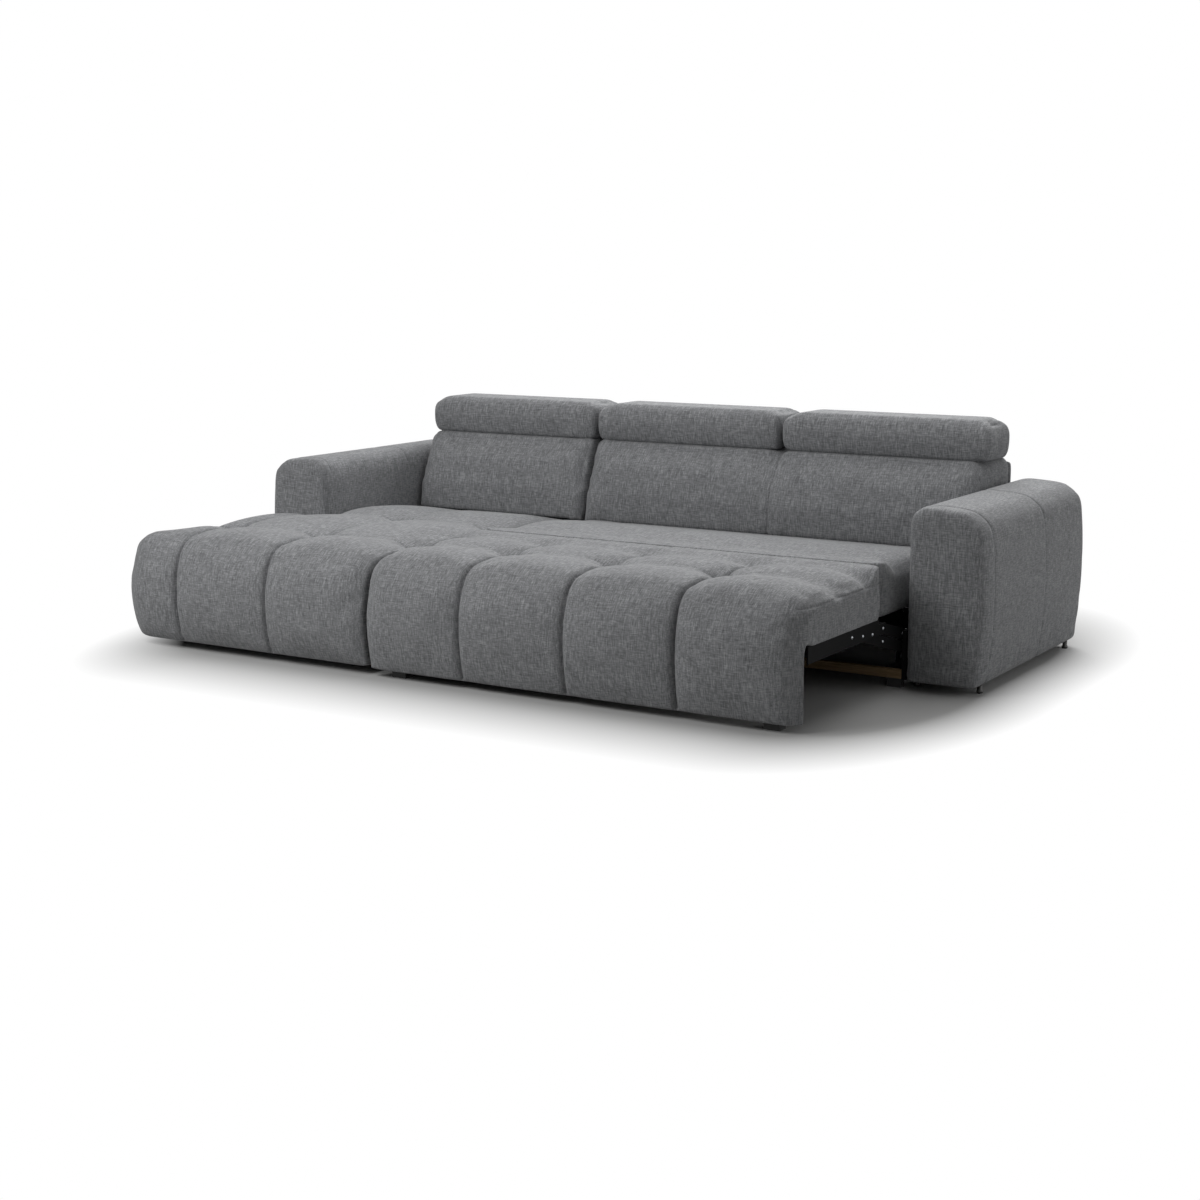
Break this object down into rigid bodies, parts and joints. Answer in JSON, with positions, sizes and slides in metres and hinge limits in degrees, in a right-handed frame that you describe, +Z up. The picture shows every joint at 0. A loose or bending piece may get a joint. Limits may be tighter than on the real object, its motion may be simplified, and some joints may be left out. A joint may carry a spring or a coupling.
{
  "type": "corner sofa bed",
  "caption": "Corner sofa with a fixed tufted chaise, padded arms, tilting headrests and a seat that swings out on steel links while a rear pad rises to make a bed.",
  "frame": {"origin": "on the floor, at the middle of the overall box with the bed open and the headrests down", "axes": "+X to the right as seen from the front, +Y to the back of the sofa, +Z up"},
  "size_m": [2.9, 1.73, 0.817],
  "materials": {
    "fabric_grey": "matte",
    "timber": "matte",
    "steel_black": "satin",
    "steel_bright": "satin",
    "plastic_black": "matte",
    "plastic_pale": "satin",
    "webbing_dark": "matte"
  },
  "bodies": {
    "base": {"base_front_lath": "timber", "base_rear_rail": "timber", "base_runners": "timber", "base_left_board": "timber", "base_right_board": "timber", "base_feet": "plastic_black", "mechanism_plates": "steel_black", "base_pivot_pins": "steel_bright", "lift_base_brackets": "steel_black", "lift_base_pins": "steel_bright", "chaise_pad": "fabric_grey", "chaise_corner_pad": "fabric_grey", "chaise_front_pad": "fabric_grey", "chaise_side_pads": "fabric_grey", "chaise_front_board": "timber", "chaise_side_boards": "timber", "chaise_cross_boards": "timber", "chaise_webbing": "webbing_dark", "chaise_feet": "plastic_black", "left_arm_pad": "fabric_grey", "left_arm_frame": "timber", "right_arm_pad": "fabric_grey", "right_arm_frame": "timber", "arm_glides": "plastic_pale", "left_back_pad": "fabric_grey", "left_back_board": "timber", "left_back_frame": "timber", "left_rear_panel": "fabric_grey", "right_back_pad": "fabric_grey", "right_back_board": "timber", "right_back_frame": "timber", "right_rear_panel": "fabric_grey", "headrest_hinge_legs": "steel_black"},
    "front_arms": {"front_swing_links": "steel_black"},
    "rear_arms": {"rear_swing_links": "steel_black"},
    "pullout": {"pullout_seat_pad": "fabric_grey", "pullout_front_pad": "fabric_grey", "pullout_front_board": "timber", "pullout_side_rails": "timber", "pullout_cross_rails": "timber", "pullout_webbing": "webbing_dark", "pullout_feet": "plastic_black", "pullout_steel_rails": "steel_black", "seat_pivot_pins": "steel_bright"},
    "front_lift": {"front_lift_links": "steel_black"},
    "rear_lift": {"rear_lift_links": "steel_black"},
    "rear_bed_pad": {"rear_pad": "fabric_grey", "rear_pad_board": "timber", "rear_pad_brackets": "steel_black", "rear_pad_pins": "steel_bright"},
    "left_headrest": {"left_headrest_pad": "fabric_grey", "left_headrest_core": "timber", "left_headrest_hinge": "steel_black"},
    "middle_headrest": {"middle_headrest_pad": "fabric_grey", "middle_headrest_core": "timber", "middle_headrest_hinge": "steel_black"},
    "right_headrest": {"right_headrest_pad": "fabric_grey", "right_headrest_core": "timber", "right_headrest_hinge": "steel_black"}
  },
  "joints": [
    {"name": "seat_swing", "type": "hinge", "parent": "base", "child": "front_arms", "pos_m": [0.3935, -0.075, 0.13], "axis": [-1, 0, 0], "range_deg": [0, 150]},
    {"name": "rear_arm_swing", "type": "hinge", "parent": "base", "child": "rear_arms", "pos_m": [0.3935, 0.085, 0.13], "axis": [-1, 0, 0], "range_deg": [0, 150]},
    {"name": "seat_level", "type": "hinge", "parent": "front_arms", "child": "pullout", "pos_m": [0.3935, -0.42, 0.22244], "axis": [-1, 0, 0], "range_deg": [-150, 0]},
    {"name": "pad_lift_front", "type": "hinge", "parent": "base", "child": "front_lift", "pos_m": [0.3935, 0.061, 0.047], "axis": [-1, 0, 0], "range_deg": [0, 82]},
    {"name": "pad_lift_rear", "type": "hinge", "parent": "base", "child": "rear_lift", "pos_m": [0.3935, 0.361, 0.047], "axis": [-1, 0, 0], "range_deg": [0, 82]},
    {"name": "pad_level", "type": "hinge", "parent": "front_lift", "child": "rear_bed_pad", "pos_m": [0.3935, 0.08602, 0.225], "axis": [-1, 0, 0], "range_deg": [-82, 0]},
    {"name": "left_headrest_tilt", "type": "hinge", "parent": "base", "child": "left_headrest", "pos_m": [-0.80375, 0.614, 0.727], "axis": [1, 0, 0], "range_deg": [0, 75]},
    {"name": "middle_headrest_tilt", "type": "hinge", "parent": "base", "child": "middle_headrest", "pos_m": [-0.00625, 0.614, 0.727], "axis": [1, 0, 0], "range_deg": [0, 75]},
    {"name": "right_headrest_tilt", "type": "hinge", "parent": "base", "child": "right_headrest", "pos_m": [0.7975, 0.614, 0.727], "axis": [1, 0, 0], "range_deg": [0, 75]}
  ],
  "couplings": [
    {"joint": "rear_arm_swing", "follows": "seat_swing", "ratio": 1},
    {"joint": "seat_level", "follows": "seat_swing", "ratio": -1},
    {"joint": "pad_lift_front", "follows": "seat_swing", "ratio": 0.54667},
    {"joint": "pad_lift_rear", "follows": "seat_swing", "ratio": 0.54667},
    {"joint": "pad_level", "follows": "seat_swing", "ratio": -0.54667}
  ]
}
